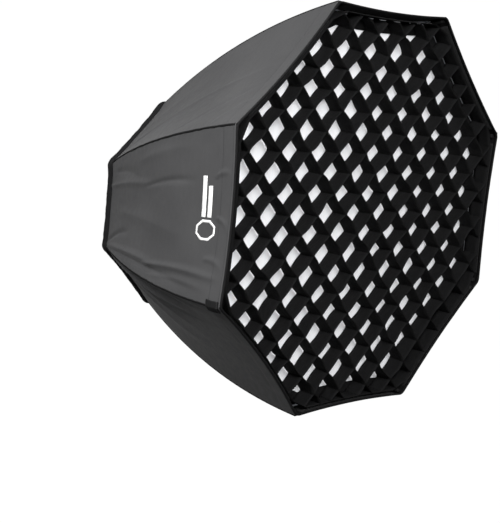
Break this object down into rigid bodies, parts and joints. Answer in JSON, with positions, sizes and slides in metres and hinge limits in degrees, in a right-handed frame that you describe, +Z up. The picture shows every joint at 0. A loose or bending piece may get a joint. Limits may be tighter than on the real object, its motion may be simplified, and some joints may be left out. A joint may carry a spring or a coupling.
{
  "type": "octabox",
  "caption": "Octagonal fabric softbox with bowed rods, rotating bayonet speed ring, white diffuser, inner baffle and black egg-crate grid.",
  "frame": {"origin": "centre of the bayonet bore, in the rear face of the insert that meets the flash head", "axes": "+Y points back towards the flash head along the mount axis, the open front faces -Y, +Z is up, +X is to the right seen from the front"},
  "size_m": [0.891, 0.85, 0.8726],
  "materials": {
    "black_nylon": "coated nylon with a satin face, silver lined",
    "black_webbing": "matte woven webbing",
    "black_binding": "matte woven binding tape",
    "hook_tape": "matte hook-and-loop tape",
    "elastic_cloth": "gathered elastic cloth",
    "grid_cloth": "matte woven cloth",
    "white_cloth": "plain woven translucent cloth",
    "white_hem": "doubled woven hem",
    "white_print": "screen-printed white ink",
    "bare_alloy": "machined",
    "black_casting": "black powder coat on a casting",
    "spring_steel": "drawn wire",
    "plated_steel": "zinc plated",
    "black_plastic": "moulded"
  },
  "bodies": {
    "mount": {"mount_insert": "bare_alloy"},
    "box": {"back_panel_1": "black_nylon", "back_panel_2": "black_nylon", "back_panel_3": "black_nylon", "back_panel_4": "black_nylon", "back_panel_5": "black_nylon", "back_panel_6": "black_nylon", "back_panel_7": "black_nylon", "back_panel_8": "black_nylon", "back_seams": "black_binding", "baffle_cloth": "white_cloth", "baffle_hem": "white_hem", "baffle_ties": "elastic_cloth", "clip_screws": "plated_steel", "corner_pockets": "black_webbing", "front_hem": "black_binding", "insert_clips": "plated_steel", "lip_loop_tape": "hook_tape", "printed_mark": "white_print", "pull_tab": "black_webbing", "rear_cuff": "elastic_cloth", "rim_binding": "black_binding", "ring_plate": "black_casting", "rod_1": "spring_steel", "rod_2": "spring_steel", "rod_3": "spring_steel", "rod_4": "spring_steel", "rod_5": "spring_steel", "rod_6": "spring_steel", "rod_7": "spring_steel", "rod_8": "spring_steel", "rod_ferrules": "plated_steel", "rod_tip_caps": "black_plastic", "seam_bindings": "black_binding", "side_panel_1": "black_nylon", "side_panel_2": "black_nylon", "side_panel_3": "black_nylon", "side_panel_4": "black_nylon", "side_panel_5": "black_nylon", "side_panel_6": "black_nylon", "side_panel_7": "black_nylon", "side_panel_8": "black_nylon", "tie_loops": "black_webbing"},
    "lock_left": {"lock_screw_left": "black_plastic"},
    "lock_right": {"lock_screw_right": "black_plastic"},
    "vent_flap_body": {"vent_flap": "black_nylon", "vent_flap_tape": "hook_tape"},
    "access_flap_body": {"access_flap": "black_nylon", "access_flap_tape": "hook_tape"},
    "diffuser": {"front_diffuser": "white_cloth", "diffuser_edge_tape": "hook_tape", "diffuser_border": "black_binding"},
    "grid": {"grid_strips_rising": "grid_cloth", "grid_strips_falling": "grid_cloth", "grid_band": "grid_cloth", "grid_hook_tape": "hook_tape"}
  },
  "joints": [
    {"name": "box_turn", "type": "hinge", "parent": "mount", "child": "box", "pos_m": [0, 0, 0], "axis": [0, 1, 0], "continuous": true},
    {"name": "lock_left_turn", "type": "hinge", "parent": "box", "child": "lock_left", "pos_m": [-0.1, -0.0045, 0], "axis": [-1, 0, 0], "range_deg": [0, 720]},
    {"name": "lock_right_turn", "type": "hinge", "parent": "box", "child": "lock_right", "pos_m": [0.1, -0.0045, 0], "axis": [1, 0, 0], "range_deg": [0, 720]},
    {"name": "vent_flap_open", "type": "hinge", "parent": "box", "child": "vent_flap_body", "pos_m": [0, -0.14656, 0.2109], "axis": [1, 0, 0], "range_deg": [0, 110]},
    {"name": "access_flap_open", "type": "hinge", "parent": "box", "child": "access_flap_body", "pos_m": [0, -0.10951, -0.21769], "axis": [-1, 0, 0], "range_deg": [0, 110]},
    {"name": "diffuser_pull", "type": "slide", "parent": "box", "child": "diffuser", "axis": [0, -1, 0], "range_m": [0, 0.15]},
    {"name": "grid_pull", "type": "slide", "parent": "diffuser", "child": "grid", "axis": [0, -1, 0], "range_m": [0, 0.2]}
  ]
}
